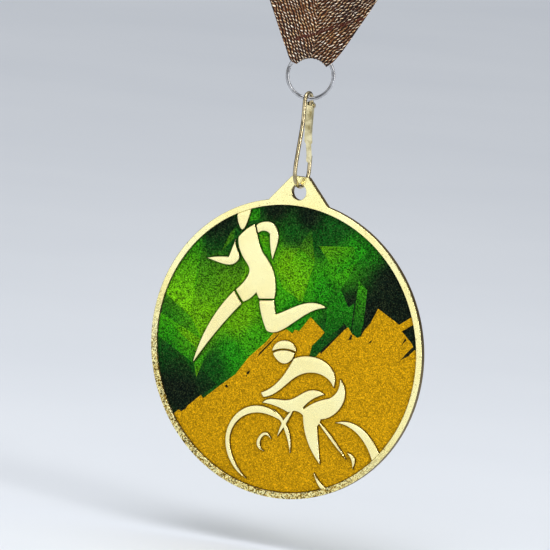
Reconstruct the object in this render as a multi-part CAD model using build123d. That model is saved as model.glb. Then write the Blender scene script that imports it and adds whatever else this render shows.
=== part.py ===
"""Finisher medal hanging from a split ring, a snap hook and a folded neck ribbon.

Millimetres, +Z up. The medal's picture faces -Y. The origin is the point inside the
ribbon's hanging loop that rests on a peg, so everything hangs below it.
"""
from build123d import *
import os

# ---- driving dimensions -------------------------------------------------------------
DISC_R = 35.0            # outer radius of the disc
RIM_W = 1.45             # width of the raised rim
THICK = 1.6              # thickness over rim and back
RELIEF = 0.55            # height of rim and figures above the ground
PRINT_T = 0.06           # thickness of the colour layers
HOLE_R = 1.9             # hanging hole in the tab
HOLE_UP = 36.8           # hole centre above the disc's centre
TAB_TOP = 40.4
TAB_FOOT = 8.1           # half width of the tab where it leaves the disc
TAB_HEAD = 2.1           # half width of the tab's top
TAB_ROUND = 0.7          # radius of its two corners

RING_YAW = 25.0          # the ring hangs turned about the vertical against the medal
RING_MEAN_R = 5.3
RING_WIRE_W = 0.8        # radial width of the flattened ring wire
RING_WIRE_T = 0.7        # axial thickness of one turn
RING_TURN_GAP = 0.03

WIRE_R = 0.48            # snap hook wire
HOOK_H = 21.9            # between the wire's centre lines, bottom bend to top eye
EYE_R = 1.75             # centre line radius of the top eye
BEND_R = 3.7             # centre line radius of the bottom bend
HOLE_SLACK = 0.25        # lets the bend turn in the tab's hole
EYE_SLACK = 0.83         # from the ring wire's centre to the inside of the eye

RIBBON_W = 11.0
RIBBON_T = 0.8
LAYER_T = 0.9            # one layer in the folds, with the air beside it
HANK_RUNS = 5            # the doubled ribbon is folded this many times
HANK_H = 71.0
EYE_H = 40.0             # from the ring's top wire to the bottom of the folds
HANG_H = 14.0            # hanging loop above the folds
BAND_H = 14.0
BAND_T = 0.35

# ---- places that follow from them ---------------------------------------------------
FOLD_T = HANK_RUNS * 2 * LAYER_T
HANK_TOP = -HANG_H + RIBBON_T
HANK_BOTTOM = HANK_TOP - HANK_H
RING_TOP = HANK_BOTTOM - EYE_H            # centre of the ring's wire at its top
RING_Z = RING_TOP - RING_MEAN_R
RING_LOW = RING_Z - RING_MEAN_R           # centre of the ring's wire at its bottom
HOOK_TOP = RING_LOW + EYE_SLACK + WIRE_R
HOOK_LOW = HOOK_TOP - HOOK_H
MEDAL_Z = HOOK_LOW - (HOLE_UP + HOLE_R - WIRE_R - HOLE_SLACK)
FRONT = -THICK / 2
GROUND = FRONT + RELIEF
FIELD_R = DISC_R - RIM_W
FLEX_Z = RING_TOP + 2.4                   # the ribbon bends here when the ring swings
BIGHT_TOP = FLEX_Z - 0.7                  # the bight and the legs stop short of the bend,
LEG_FOOT = FLEX_Z + 0.9                   # so neither meets the other as it turns

os.makedirs("parts", exist_ok=True)


def save(shape, node):
    shape.label = node
    export_step(shape, f"parts/{node}.step")


# ---- shapes drawn on the medal's face -----------------------------------------------
def outline(*runs):
    """Closed face from runs of points: two points are a line, more are a smooth curve."""
    edges = []
    for run in runs:
        if len(run) == 2:
            edges.append(Line(*run))
        else:
            edges.append(Spline(*run))
    return make_face(Curve() + edges)


def crescent(outer, inner):
    """A blade between two curves that share both tips."""
    return outline(outer, [outer[-1]] + inner + [outer[0]])


def on_face(sketch, y, depth):
    """Stands a sketch up on the medal, its lower face at y, growing towards the front."""
    solid = extrude(sketch, depth)
    return Pos(0, y, MEDAL_Z) * Rot(90, 0, 0) * solid


def runner():
    head = outline(
        [(-15.9, 33.0), (-15.3, 29.4), (-14.8, 27.6), (-13.8, 26.3), (-12.7, 27.9), (-12.2, 33.0)],
        [(-12.2, 33.0), (-15.9, 33.0)],
    )
    torso = outline(
        [(-10.7, 27.9), (-12.9, 26.3), (-14.5, 24.5)],
        [(-14.5, 24.5), (-13.9, 21.6), (-12.3, 19.2), (-11.0, 17.3), (-11.5, 15.3), (-14.1, 12.2)],
        [(-14.1, 12.2), (-11.9, 9.5)],
        [(-11.9, 9.5), (-9.8, 10.9), (-8.7, 12.2)],
        [(-8.7, 12.2), (-7.9, 10.8)],
        [(-7.9, 10.8), (-4.0, 11.3)],
        [(-4.0, 11.3), (-4.2, 15.8), (-5.6, 19.0), (-8.3, 22.2), (-9.7, 25.3), (-10.7, 27.9)],
    )
    front_arm = outline(
        [(-15.2, 23.9), (-14.5, 21.3), (-13.9, 19.6), (-14.9, 18.2), (-18.0, 17.7), (-22.3, 18.5)],
        [(-22.3, 18.5), (-19.0, 19.3), (-16.6, 19.5)],
        [(-16.6, 19.5), (-16.0, 21.4), (-15.2, 23.9)],
    )
    rear_arm = outline(
        [(-10.2, 27.8), (-8.4, 28.8), (-6.0, 28.7), (-4.5, 26.8), (-4.5, 23.6), (-5.3, 20.3)],
        [(-5.3, 20.3), (-6.1, 23.2), (-6.5, 26.2)],
        [(-6.5, 26.2), (-7.6, 26.7), (-9.6, 26.0)],
        [(-9.6, 26.0), (-10.2, 27.8)],
    )
    front_leg = outline(
        [(-14.5, 11.8), (-18.3, 6.8), (-21.4, 0.8), (-23.6, -6.4)],
        [(-23.6, -6.4), (-19.8, -0.6), (-16.2, 4.3), (-12.3, 9.0)],
        [(-12.3, 9.0), (-14.5, 11.8)],
    )
    rear_leg = outline(
        [(-7.8, 10.4), (-6.7, 6.6), (-5.2, 3.6)],
        [(-5.2, 3.6), (-3.8, 3.4), (-0.3, 5.0), (4.2, 8.5), (9.5, 10.9)],
        [(9.5, 10.9), (6.4, 11.7), (1.9, 10.4), (-3.3, 7.7)],
        [(-3.3, 7.7), (-4.0, 10.9)],
        [(-4.0, 10.9), (-7.8, 10.4)],
    )
    return {
        "runner_head": head,
        "runner_torso": torso,
        "runner_front_arm": front_arm,
        "runner_rear_arm": rear_arm,
        "runner_front_leg": front_leg,
        "runner_rear_leg": rear_leg,
    }


def cyclist():
    helmet = outline(
        [(-3.3, -0.9), (-2.3, 1.2), (-0.3, 2.0), (1.9, 1.4), (2.8, -0.2)],
        [(2.8, -0.2), (-0.3, 0.1), (-3.3, -0.9)],
    )
    face = outline(
        [(-3.1, -1.3), (-1.9, -2.7), (0.0, -3.4), (1.9, -2.2), (2.4, -0.6)],
        [(2.4, -0.6), (-0.3, -0.3), (-3.1, -1.3)],
    )
    back_and_arm = outline(
        [(2.4, -1.9), (5.5, -0.9), (9.2, -1.2), (12.5, -3.2), (13.2, -7.2)],
        [(13.2, -7.2), (11.2, -5.2), (7.7, -4.5), (4.1, -5.6), (0.0, -9.2), (-4.5, -11.9)],
        [(-4.5, -11.9), (-5.3, -10.9)],
        [(-5.3, -10.9), (-2.1, -8.8), (0.5, -5.5), (2.4, -1.9)],
    )
    thigh = outline(
        [(-4.7, -13.2), (-3.5, -12.3), (0.0, -11.9), (2.4, -11.5), (5.6, -9.5), (11.0, -9.2)],
        [(11.0, -9.2), (8.2, -10.6), (5.9, -12.9)],
        [(5.9, -12.9), (6.6, -15.2)],
        [(6.6, -15.2), (4.0, -14.0), (2.2, -14.6)],
        [(2.2, -14.6), (-0.9, -13.6), (-4.7, -13.2)],
    )
    hip = outline(
        [(6.0, -13.3), (9.0, -11.2), (12.3, -9.9)],
        [(12.3, -9.9), (14.2, -8.0), (14.7, -5.1)],
        [(14.7, -5.1), (16.3, -8.6), (14.8, -12.5), (10.7, -15.0)],
        [(10.7, -15.0), (9.6, -17.0), (6.2, -15.2)],
        [(6.2, -15.2), (6.0, -13.3)],
    )
    shin = outline(
        [(6.0, -14.4), (7.3, -19.6), (11.4, -25.4)],
        [(11.4, -25.4), (10.6, -21.0), (9.7, -15.8)],
        [(9.7, -15.8), (6.0, -14.4)],
    )
    stay = crescent([(9.2, -14.9), (13.2, -18.1), (17.9, -23.3)], [(14.0, -19.8)])
    fork_rear = crescent([(3.6, -13.4), (1.3, -16.3), (-0.1, -20.5)], [(2.2, -16.6)])
    fork_front = crescent([(-1.6, -14.5), (2.0, -17.6), (3.5, -23.9)], [(0.9, -17.6)])
    front_wheel = outline(
        [
            (1.4, -17.2), (-1.9, -14.7), (-6.2, -14.1), (-11.2, -16.8), (-13.4, -22.3),
            (-11.6, -28.0), (-7.3, -31.4),
        ],
        [
            (-7.3, -31.4), (-11.0, -27.2), (-12.3, -21.9), (-10.4, -18.0), (-6.2, -15.8),
            (-2.3, -15.9), (1.4, -17.2),
        ],
    )
    legs_and_frame = thigh + hip + shin + stay + fork_rear + fork_front + front_wheel
    front_hub = crescent(
        [(-3.3, -24.4), (-5.2, -22.2), (-3.6, -20.1), (-1.7, -21.4)],
        [(-3.5, -20.8), (-4.4, -22.2)],
    )
    rear_hub = crescent([(18.1, -21.8), (20.1, -22.9), (19.8, -25.3)], [(19.3, -23.2)])
    rear_wheel = outline(
        [(14.5, -15.3), (17.8, -14.7), (22.9, -16.9), (27.0, -22.6)],
        [(27.0, -22.6), (25.2, -24.6)],
        [(25.2, -24.6), (22.2, -18.8), (18.0, -15.8), (14.5, -15.3)],
    )
    lower_wheel = outline(
        [(10.1, -27.7), (12.4, -30.1), (16.6, -31.9)],
        [(16.6, -31.9), (14.0, -32.3)],
        [(14.0, -32.3), (11.9, -30.8), (10.1, -27.7)],
    )
    return {
        "cyclist_helmet": helmet,
        "cyclist_face": face,
        "cyclist_back_and_arm": back_and_arm,
        "cyclist_legs_and_frame": legs_and_frame,
        "front_hub_arc": front_hub,
        "rear_hub_arc": rear_hub,
        "rear_wheel_arc": rear_wheel,
        "rear_wheel_lower_arc": lower_wheel,
    }


def brush_edge():
    """Everything under the ragged brush edge, drawn well past the rim at the sides."""
    return make_face(
        Polyline(
            (-40, -27), (-27.8, -19.3), (-26.4, -17.9), (-25.8, -18.2), (-20.9, -13.7), (-20.2, -14.4),
            (-16.4, -11.0), (-12.4, -7.6), (-9.4, -3.2), (-5.2, 1.0), (-3.6, 3.2), (-0.2, 4.6),
            (1.3, 3.8), (1.9, 4.8), (3.0, 4.6), (5.6, 8.3), (9.5, 5.2), (8.7, 4.0), (6.6, 1.7),
            (6.1, -0.9), (7.9, -0.7), (9.6, 1.6), (13.1, 5.2), (15.4, 7.2), (16.4, 5.9), (18.0, 5.0),
            (18.9, 5.6), (19.6, 7.1), (21.0, 8.9), (22.6, 12.5), (28.3, 9.5), (31.4, 11.8), (40, 15.6),
            (40, 12.8), (31.8, 10.0), (29.1, 8.1), (31.9, 5.6), (32.6, 4.2), (40, 3.4), (40, -40),
            (-40, -40), (-40, -27),
        )
    )


# ---- medal --------------------------------------------------------------------------
def medal():
    disc = Circle(DISC_R)
    foot = HOLE_UP - 3.2                     # inside the disc, so the tab grows out of it
    tab = make_face(
        Polyline(
            (-TAB_FOOT, foot), (-TAB_HEAD, TAB_TOP), (TAB_HEAD, TAB_TOP), (TAB_FOOT, foot),
            (-TAB_FOOT, foot),
        )
    )
    tab = fillet(tab.vertices().group_by(Axis.Y)[-1], TAB_ROUND)
    plate = disc + tab - Pos(0, HOLE_UP) * Circle(HOLE_R)
    body = on_face(plate, THICK / 2, THICK) - on_face(Circle(FIELD_R), GROUND, RELIEF + 1)
    save(body, "medal_body")

    field = Circle(FIELD_R)
    islands = {**runner(), **cyclist()}
    bare = Sketch()
    for node, shape in islands.items():
        inside = shape & field
        save(on_face(inside, GROUND, RELIEF), node)
        bare += inside
    inner = field - bare
    lower = brush_edge()
    save(on_face(inner - lower, GROUND, PRINT_T), "green_field")
    save(on_face(inner & lower, GROUND, PRINT_T), "gold_field")


# ---- split ring ---------------------------------------------------------------------
def turn():
    """One flat turn of the ring's wire, its axis along Y."""
    half = RING_WIRE_W / 2
    band = Circle(RING_MEAN_R + half) - Circle(RING_MEAN_R - half)
    return Rot(90, 0, 0) * extrude(band, RING_WIRE_T / 2, both=True)


def split_ring():
    step = (RING_WIRE_T + RING_TURN_GAP) / 2
    bridge = Pos(RING_MEAN_R, 0, 0) * Box(RING_WIRE_W * 0.9, RING_TURN_GAP * 4, 1.2)
    wire = Pos(0, -step, 0) * turn() + Pos(0, step, 0) * turn() + bridge
    save(Pos(0, 0, RING_Z) * Rot(0, 0, RING_YAW) * wire, "split_ring")


# ---- snap hook ----------------------------------------------------------------------
PIN_Z = HOOK_TOP - EYE_R - 1.2
PIN_R = 0.26
PIN_HEAD_R = 0.5
STUB_END = HOOK_TOP - 8.3                 # the wire's upper end, inside the gate
NECK_END = HOOK_TOP - 6.8                 # the long side leaves the neck's width here
SHOULDER = HOOK_LOW + 5.2                 # and reaches the bottom bend's width here
NOSE_Z = HOOK_LOW + 6.8                   # the wire's lower end
GATE_W = 1.56            # over the channel's two sides
GATE_T = 0.22
FLARE_W = 2.0            # the channel spreads where its sides end
FLARE_Z = HOOK_LOW + 10.4
LEAF_W = 1.3             # the narrow leaf below it
LEAF_TIP = NOSE_Z - 1.3
LEAF_TOP = LEAF_TIP + 1.6                 # from here down the leaf lies along the nose
TO_YZ = Plane(origin=(0, 0, 0), x_dir=(0, 1, 0), z_dir=(1, 0, 0))


def hook_line():
    """Centre line of the hook wire in the YZ plane, from the gate's stub to the nose."""
    eye_z = HOOK_TOP - EYE_R
    bend_z = HOOK_LOW + BEND_R
    stub = Line((0, EYE_R, STUB_END), (0, EYE_R, eye_z))
    eye = ThreePointArc((0, EYE_R, eye_z), (0, 0, HOOK_TOP), (0, -EYE_R, eye_z))
    side = FilletPolyline(
        (0, -EYE_R, eye_z), (0, -EYE_R, NECK_END), (0, -BEND_R, SHOULDER), (0, -BEND_R, bend_z),
        radius=4.0,
    )
    bend = ThreePointArc((0, -BEND_R, bend_z), (0, 0, HOOK_LOW), (0, BEND_R, bend_z))
    nose = Line((0, BEND_R, bend_z), (0, BEND_R, NOSE_Z))
    return Wire(stub.edges() + eye.edges() + side.edges() + bend.edges() + nose.edges())


def pin_hole():
    """Drills the wire and both sides of the gate."""
    return Pos(0, EYE_R, PIN_Z) * Rot(0, 90, 0) * Cylinder(PIN_R + 0.04, 3 * GATE_W)


def hook():
    line = hook_line()
    section = Plane(origin=(0, EYE_R, STUB_END), z_dir=(0, 0, 1)) * Circle(WIRE_R)
    body = sweep(section, path=line)
    tip = Pos(0, BEND_R, NOSE_Z) * Sphere(WIRE_R)
    body += tip
    save(body - pin_hole(), "hook_body")

    shank = Cylinder(PIN_R, GATE_W + 0.1)
    heads = [Pos(0, 0, s * (GATE_W / 2 + 0.12)) * Cylinder(PIN_HEAD_R, 0.2) for s in (-1, 1)]
    pin = Pos(0, EYE_R, PIN_Z) * Rot(0, 90, 0) * (shank + heads)
    save(pin, "gate_pin")


def gate():
    """Pressed channel round the stub, running down as a narrow leaf to inside the nose."""
    web_out = EYE_R - WIRE_R - 0.14          # just inside the stub
    tip_out = BEND_R - WIRE_R - 0.06         # where the leaf meets the nose
    back = EYE_R + 0.25

    def web_line(inward):
        return [
            (web_out - inward, PIN_Z), (web_out - inward, STUB_END),
            (tip_out - inward, LEAF_TOP), (tip_out - inward, LEAF_TIP),
        ]

    outer, inner = web_line(0), web_line(GATE_T)
    strip = make_face(Polyline(*outer, *inner[::-1], outer[0]))
    half, flare, leaf = GATE_W / 2, FLARE_W / 2, LEAF_W / 2
    right = [
        (half, PIN_Z), (half, STUB_END), (flare, FLARE_Z + 0.7), (flare, FLARE_Z),
        (leaf, FLARE_Z - 0.6), (leaf, LEAF_TIP + 0.4), (leaf - 0.3, LEAF_TIP),
    ]
    left = [(-x, z) for x, z in right[::-1]]
    front = make_face(Polyline(*right, *left, right[0]))
    web = extrude(TO_YZ * strip, FLARE_W, both=True) & extrude(Plane.XZ * front, 2 * BEND_R, both=True)

    fall = (tip_out - web_out) / (STUB_END - LEAF_TOP)
    wall_end = FLARE_Z + 0.9
    foot = web_out + fall * (STUB_END - wall_end)
    side = make_face(
        Curve() + [
            ThreePointArc((back, PIN_Z), (EYE_R - 0.15, PIN_Z + 0.85), (web_out - GATE_T, PIN_Z)),
            Polyline(
                (web_out - GATE_T, PIN_Z), (web_out - GATE_T, STUB_END), (foot - GATE_T, wall_end),
                (foot + 0.25, wall_end), (back, STUB_END + 0.6), (back, PIN_Z),
            ),
        ]
    )
    walls = extrude(TO_YZ * side, half, both=True) - extrude(TO_YZ * side, WIRE_R + 0.08, both=True)
    save(web + walls - pin_hole(), "gate")


def gate_spring():
    """Small bent strip under the stub that pushes the gate back to the nose."""
    top = STUB_END - 0.12
    low = STUB_END - 1.3
    inner = EYE_R - WIRE_R + 0.34
    strip = outline(
        [(inner, top), (EYE_R + 0.25, top)],
        [(EYE_R + 0.25, top), (EYE_R + 0.25, top - 0.16)],
        [(EYE_R + 0.25, top - 0.16), (inner + 0.45, top - 0.2), (inner + 0.3, low)],
        [(inner + 0.3, low), (inner + 0.14, low)],
        [(inner + 0.14, low), (inner, top - 0.35), (inner, top)],
    )
    save(extrude(TO_YZ * strip, 0.45, both=True), "gate_spring")


# ---- ribbon -------------------------------------------------------------------------
def ring_bight():
    """The ribbon's turn round the top of the ring, open at both sides."""
    gap_r = RING_WIRE_T + RING_TURN_GAP / 2 + 0.25      # half the room for the wire across it
    wall = RIBBON_T
    low = RING_WIRE_W / 2 + 0.2
    height = BIGHT_TOP - RING_TOP
    outer = Pos(0, height / 2 - 1.2) * RectangleRounded(2 * (gap_r + wall), height + 2.4, 0.9)
    solid = extrude(TO_YZ * outer, RIBBON_W * 0.44, both=True)
    room = Rot(90, 0, 0) * extrude(
        Circle(RING_MEAN_R + RING_WIRE_W / 2 + 0.15) - Circle(RING_MEAN_R - low), gap_r, both=True
    )
    under = Rot(90, 0, 0) * extrude(Circle(RING_MEAN_R - low - wall), 4, both=True)
    cut = Pos(0, 0, -RING_MEAN_R) * (room + under)
    place = Pos(0, 0, RING_TOP) * Rot(0, 0, RING_YAW)
    save(place * (solid - cut), "ribbon_ring_bight")


def leg_section(across, up, depth, lean, yaw):
    """Cross-section of a leg: a thin rectangle, leaning in its own plane and yawed."""
    turn_to = Rot(0, 0, yaw) * Pos(across, depth, up) * Rot(0, lean, 0)
    return turn_to * Rectangle(RIBBON_W, RIBBON_T)


def leg(stations):
    return loft([leg_section(*s) for s in stations])


def ribbon_legs():
    left = leg([
        (-1.2, LEG_FOOT, -0.5, -12, RING_YAW),
        (-5.4, RING_TOP + 12, -0.6, -22, RING_YAW),
        (-9.2, RING_TOP + 22, -2.0, -4, RING_YAW * 0.6),
        (-6.2, RING_TOP + 31, -3.6, 22, RING_YAW * 0.25),
        (0, HANK_BOTTOM, -FOLD_T / 2 + 0.45, 0, 0),
    ])
    right = leg([
        (1.2, LEG_FOOT, 0.5, 14, RING_YAW),
        (6.0, RING_TOP + 12, 0.6, 32, RING_YAW),
        (11.2, RING_TOP + 22, 0.2, 8, RING_YAW * 0.6),
        (7.0, RING_TOP + 31, -0.6, -28, RING_YAW * 0.25),
        (0, HANK_BOTTOM, -FOLD_T / 2 + 1.75, 0, 0),
    ])
    save(left, "ribbon_left_leg")
    save(right, "ribbon_right_leg")


def stitching():
    """Two rows of short stitches across the legs, just above the ring."""
    count = 9
    pitch = 1.15
    rows = []
    for row in (0, 1):
        for i in range(count):
            across = (i - (count - 1) / 2) * pitch
            up = FLEX_Z + 2.3 + row * 1.1 + across * 0.12
            thread = Pos(across, -1.3, up) * Rot(0, 90, 0) * Cylinder(0.12, 0.8)
            rows.append(Rot(0, 0, RING_YAW) * thread)
    save(Compound(children=rows), "ribbon_stitching")


def hank():
    fold = Box(RIBBON_W, FOLD_T, HANK_H)
    fold = fillet(fold.edges().filter_by(Axis.X), 0.85)
    save(Pos(0, 0, HANK_BOTTOM + HANK_H / 2) * fold, "ribbon_hank")

    wrap = RectangleRounded(RIBBON_W + 2 * BAND_T + 0.1, FOLD_T + 2 * BAND_T + 0.1, 0.5)
    wrap -= Rectangle(RIBBON_W + 0.1, FOLD_T + 0.1)
    band = extrude(wrap, BAND_H / 2, both=True)
    save(Pos(0, 0, HANK_BOTTOM + HANK_H / 2) * band, "hank_band")


def hang_loop():
    """The neck end of the ribbon, standing up as a loop for a peg."""
    hole_w = 7.2
    hole_h = HANG_H - RIBBON_T - 1.5
    outer = Pos(0, -hole_h / 2) * RectangleRounded(hole_w + 2 * RIBBON_T, hole_h + 2 * RIBBON_T, 4.2)
    inner = Pos(0, -hole_h / 2) * RectangleRounded(hole_w, hole_h, 3.4)
    loop = extrude(TO_YZ * (outer - inner), RIBBON_W / 2, both=True)
    above = Pos(0, 0, HANK_TOP + 20 + 0.02) * Box(40, 40, 40)
    save(loop & above, "ribbon_hang_loop")


medal()
split_ring()
hook()
gate()
gate_spring()
ring_bight()
ribbon_legs()
stitching()
hank()
hang_loop()
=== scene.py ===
"""Finisher medal on its snap hook, split ring and folded ribbon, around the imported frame."""
import math

import bpy
import bmesh
import numpy as np
from mathutils import Matrix, Vector
from mathutils.geometry import delaunay_2d_cdt


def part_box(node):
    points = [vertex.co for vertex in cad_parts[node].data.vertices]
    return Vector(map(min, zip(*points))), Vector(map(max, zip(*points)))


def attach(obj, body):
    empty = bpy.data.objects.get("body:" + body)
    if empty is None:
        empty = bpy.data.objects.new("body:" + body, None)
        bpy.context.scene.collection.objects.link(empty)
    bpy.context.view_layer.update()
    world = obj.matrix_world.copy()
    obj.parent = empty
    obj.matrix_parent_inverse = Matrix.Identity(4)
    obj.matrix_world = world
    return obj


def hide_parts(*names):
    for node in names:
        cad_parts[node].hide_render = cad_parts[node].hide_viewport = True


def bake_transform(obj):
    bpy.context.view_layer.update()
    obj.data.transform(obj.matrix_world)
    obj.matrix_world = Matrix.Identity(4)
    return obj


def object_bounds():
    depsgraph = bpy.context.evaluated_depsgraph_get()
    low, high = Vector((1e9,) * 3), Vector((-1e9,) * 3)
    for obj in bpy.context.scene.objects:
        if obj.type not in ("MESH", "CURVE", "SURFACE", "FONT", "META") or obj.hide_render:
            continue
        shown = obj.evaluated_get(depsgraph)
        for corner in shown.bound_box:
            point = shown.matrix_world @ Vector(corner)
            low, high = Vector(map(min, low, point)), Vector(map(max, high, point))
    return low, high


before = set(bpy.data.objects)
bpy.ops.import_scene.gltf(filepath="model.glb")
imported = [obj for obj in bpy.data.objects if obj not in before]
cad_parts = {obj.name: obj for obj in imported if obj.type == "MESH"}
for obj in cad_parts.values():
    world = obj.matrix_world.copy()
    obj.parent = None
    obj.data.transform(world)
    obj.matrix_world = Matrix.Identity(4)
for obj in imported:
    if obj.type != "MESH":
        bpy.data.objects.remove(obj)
cad_low, cad_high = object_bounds()
MM = 0.001
rng = np.random.default_rng(7)


def centre(node):
    low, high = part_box(node)
    return (low + high) / 2


# ---- places read from the frame, in millimetres ---------------------------------------
DISC_R = (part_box("medal_body")[1].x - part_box("medal_body")[0].x) / 2 / MM
MEDAL_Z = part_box("medal_body")[0].z / MM + DISC_R
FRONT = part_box("medal_body")[0].y / MM
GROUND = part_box("green_field")[1].y / MM
RIM_W = 1.45
FIELD_R = DISC_R - RIM_W
RING = centre("split_ring") / MM
RING_R = 5.3
WIRE_W, WIRE_T = 0.8, 0.7
RING_TOP = RING.z + RING_R
YAW = math.radians(25)
HANK_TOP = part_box("ribbon_hank")[1].z / MM
HANK_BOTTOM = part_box("ribbon_hank")[0].z / MM

# ---- camera -----------------------------------------------------------------------------
scene = bpy.context.scene
scene.view_settings.view_transform = "Standard"
AZIMUTH, ELEVATION, ROLL = math.radians(25.8), math.radians(6.9), math.radians(5.0)
DISTANCE = 1.6
SPAN = 0.1276
back = Vector((
    math.sin(AZIMUTH) * math.cos(ELEVATION),
    -math.cos(AZIMUTH) * math.cos(ELEVATION),
    math.sin(ELEVATION),
))
right = Vector((0, 0, 1)).cross(back).normalized()
up = back.cross(right)
cam_right = right * math.cos(ROLL) + up * math.sin(ROLL)
cam_up = up * math.cos(ROLL) - right * math.sin(ROLL)
look_at = Vector((0, FRONT, MEDAL_Z)) * MM - cam_right * 0.00231 + cam_up * 0.0172
camera_data = bpy.data.cameras.new("camera")
camera = bpy.data.objects.new("camera", camera_data)
scene.collection.objects.link(camera)
rotation = Matrix((cam_right, cam_up, back)).transposed()
camera.matrix_world = Matrix.Translation(look_at + back * DISTANCE) @ rotation.to_4x4()
camera_data.sensor_width = 36
camera_data.lens = 36 * DISTANCE / SPAN
camera_data.clip_start = 0.01
camera_data.clip_end = 20
scene.camera = camera


# ---- light and floor --------------------------------------------------------------------
def area_light(name, direction, distance, size, power):
    data = bpy.data.lights.new(name, "AREA")
    data.shape = "RECTANGLE"
    data.size, data.size_y = size
    data.energy = power
    lamp = bpy.data.objects.new(name, data)
    scene.collection.objects.link(lamp)
    aim = Vector(direction).normalized()
    target = Vector((0, 0, MEDAL_Z + 30)) * MM
    lamp.location = target + aim * distance
    lamp.rotation_mode = "QUATERNION"
    lamp.rotation_quaternion = aim.to_track_quat("Z", "Y")
    lamp.visible_camera = False


area_light("softbox_front", (-0.46, -0.88, -0.08), 0.9, (0.95, 1.2), 3.2)
area_light("softbox_top", (0.2, -0.35, 0.95), 1.0, (0.8, 0.5), 5)
area_light("strip_right", (0.95, -0.5, 0.25), 0.9, (0.16, 0.8), 5)
sky = bpy.data.lights.new("sky_panel", "SUN")
sky.energy = 1.0
sky.angle = math.radians(60)
sky_lamp = bpy.data.objects.new("sky_panel", sky)
scene.collection.objects.link(sky_lamp)


def studio():
    """Pale ceiling over dark walls, for the bright metal to reflect."""
    world = bpy.data.worlds.new("studio")
    world.use_nodes = True
    nodes, links = world.node_tree.nodes, world.node_tree.links
    where = nodes.new("ShaderNodeTexCoord")
    rise = nodes.new("ShaderNodeSeparateXYZ")
    links.new(where.outputs["Generated"], rise.inputs[0])
    wall = nodes.new("ShaderNodeMapRange")
    links.new(rise.outputs["Z"], wall.inputs["Value"])
    wall.inputs["From Min"].default_value = 0.55
    wall.inputs["From Max"].default_value = 0.25
    colour = nodes.new("ShaderNodeMix")
    colour.data_type = "RGBA"
    colour.inputs[6].default_value = (0.80, 0.84, 0.90, 1)
    colour.inputs[7].default_value = (0.10, 0.10, 0.11, 1)
    links.new(wall.outputs[0], colour.inputs["Factor"])
    background = nodes["Background"]
    links.new(colour.outputs[2], background.inputs["Color"])
    background.inputs["Strength"].default_value = 0.55
    return world


scene.world = studio()


# ---- node helpers -----------------------------------------------------------------------
def linear(rgb):
    """Display values 0-255 as linear light."""
    return tuple(((c / 255 + 0.055) / 1.055) ** 2.4 if c > 10 else c / 255 / 12.92 for c in rgb)


def colour4(rgb):
    return (*linear(rgb), 1.0)


class Tree:
    """A material's nodes, each made with one call; a socket or a number can feed any input."""

    def __init__(self, name):
        self.material = bpy.data.materials.new(name)
        self.material.use_nodes = True
        self.nodes = self.material.node_tree.nodes
        self.links = self.material.node_tree.links
        self.shader = self.nodes["Principled BSDF"]

    def feed(self, socket, value):
        if isinstance(value, bpy.types.NodeSocket):
            self.links.new(value, socket)
        else:
            socket.default_value = value

    def node(self, kind, inputs=(), **settings):
        made = self.nodes.new("ShaderNode" + kind)
        for key, value in settings.items():
            setattr(made, key, value)
        for key, value in dict(inputs).items():
            self.feed(made.inputs[key], value)
        return made

    def math(self, operation, a, b=0.0, c=0.0):
        made = self.node("Math", {0: a, 1: b, 2: c}, operation=operation)
        return made.outputs[0]

    def place(self):
        return self.node("TexCoord").outputs["Object"]

    def noise(self, scale, detail=2.0, rough=0.5, where=None):
        made = self.node("TexNoise", {"Scale": scale, "Detail": detail, "Roughness": rough})
        self.links.new(where or self.place(), made.inputs["Vector"])
        return made.outputs["Fac"]

    def cells(self, scale, where=None):
        """One random value per cell."""
        made = self.node("TexVoronoi", {"Scale": scale}, feature="F1")
        self.links.new(where or self.place(), made.inputs["Vector"])
        return self.node("SeparateColor", {"Color": made.outputs["Color"]}).outputs["Red"]

    def ramp(self, fac, low, high, to_low=0.0, to_high=1.0):
        made = self.node("MapRange", {
            "Value": fac, "From Min": low, "From Max": high, "To Min": to_low, "To Max": to_high,
        }, clamp=True)
        return made.outputs[0]

    def mix(self, fac, a, b, mode="MIX"):
        made = self.node("Mix", data_type="RGBA", blend_type=mode, clamp_result=False)
        self.feed(made.inputs["Factor"], fac)
        self.feed(made.inputs[6], a)
        self.feed(made.inputs[7], b)
        return made.outputs[2]

    def bump(self, height, distance, strength=1.0):
        made = self.node("Bump", {"Height": height, "Strength": strength, "Distance": distance})
        self.links.new(made.outputs["Normal"], self.shader.inputs["Normal"])

    def set(self, **inputs):
        for key, value in inputs.items():
            self.feed(self.shader.inputs[key.replace("_", " ")], value)
        return self.material


# ---- materials --------------------------------------------------------------------------
TWIST = 0.85             # one turn of a yarn's twist, in millimetres


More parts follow.
